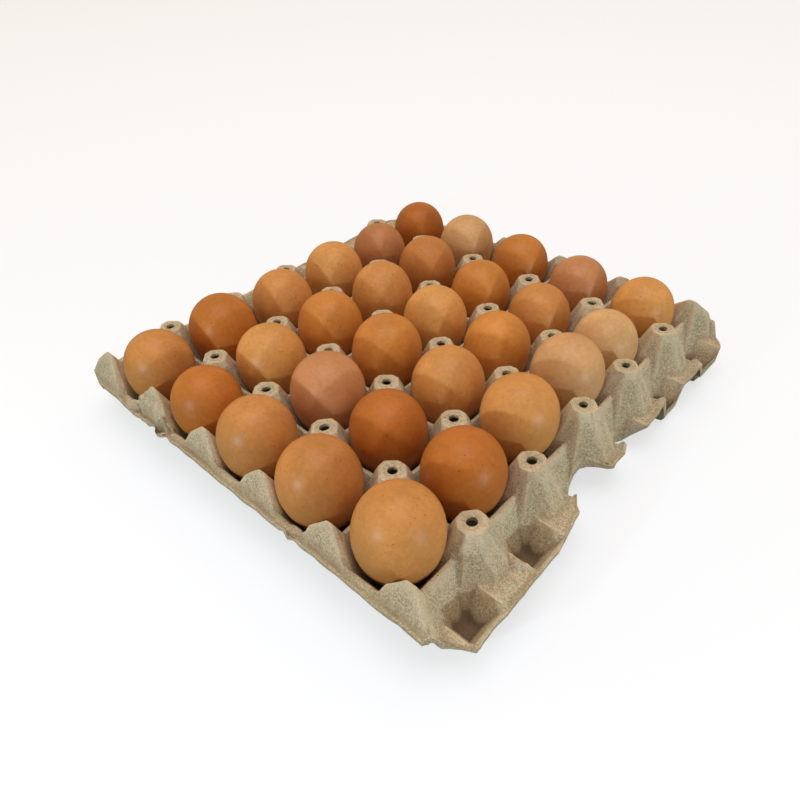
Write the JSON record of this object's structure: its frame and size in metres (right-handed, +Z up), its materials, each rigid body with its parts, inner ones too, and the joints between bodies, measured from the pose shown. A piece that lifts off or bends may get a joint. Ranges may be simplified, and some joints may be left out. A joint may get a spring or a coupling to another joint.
{
  "type": "egg carton with eggs",
  "caption": "Open moulded-pulp egg tray of hollow posts and cups, with a brown hen's egg sitting in every cup.",
  "frame": {"origin": "middle of the tray's outline, on the surface that the cups' floors stand on", "axes": "+Z up; +X along the rows of five eggs, towards the torn short edge; +Y along the columns of six, away from the near long edge"},
  "size_m": [0.3086, 0.3038, 0.0666],
  "materials": {
    "pulp": "matt grey-beige moulded paper pulp with fine fibres and dark specks",
    "shell_tan": "tan eggshell with a soft satin sheen, fine pores and small darker freckles",
    "shell_orange": "orange eggshell with a soft satin sheen, fine pores and small darker freckles",
    "shell_brown": "brown eggshell with a soft satin sheen, fine pores and small darker freckles",
    "shell_red": "red eggshell with a soft satin sheen, fine pores and small darker freckles",
    "shell_pink": "pink eggshell with a soft satin sheen, fine pores and small darker freckles",
    "shell_pale": "pale eggshell with a soft satin sheen, fine pores and small darker freckles"
  },
  "bodies": {
    "root": {"tray": "pulp", "egg_r1_c1": "shell_tan", "egg_r1_c2": "shell_red", "egg_r1_c3": "shell_brown", "egg_r1_c4": "shell_brown", "egg_r1_c5": "shell_tan", "egg_r2_c1": "shell_red", "egg_r2_c2": "shell_tan", "egg_r2_c3": "shell_pink", "egg_r2_c4": "shell_red", "egg_r2_c5": "shell_red", "egg_r3_c1": "shell_brown", "egg_r3_c2": "shell_orange", "egg_r3_c3": "shell_orange", "egg_r3_c4": "shell_brown", "egg_r3_c5": "shell_tan", "egg_r4_c1": "shell_tan", "egg_r4_c2": "shell_brown", "egg_r4_c3": "shell_tan", "egg_r4_c4": "shell_orange", "egg_r4_c5": "shell_pale", "egg_r5_c1": "shell_pink", "egg_r5_c2": "shell_brown", "egg_r5_c3": "shell_orange", "egg_r5_c4": "shell_brown", "egg_r5_c5": "shell_pale", "egg_r6_c1": "shell_red", "egg_r6_c2": "shell_pale", "egg_r6_c3": "shell_orange", "egg_r6_c4": "shell_pink", "egg_r6_c5": "shell_tan"}
  },
  "joints": []
}
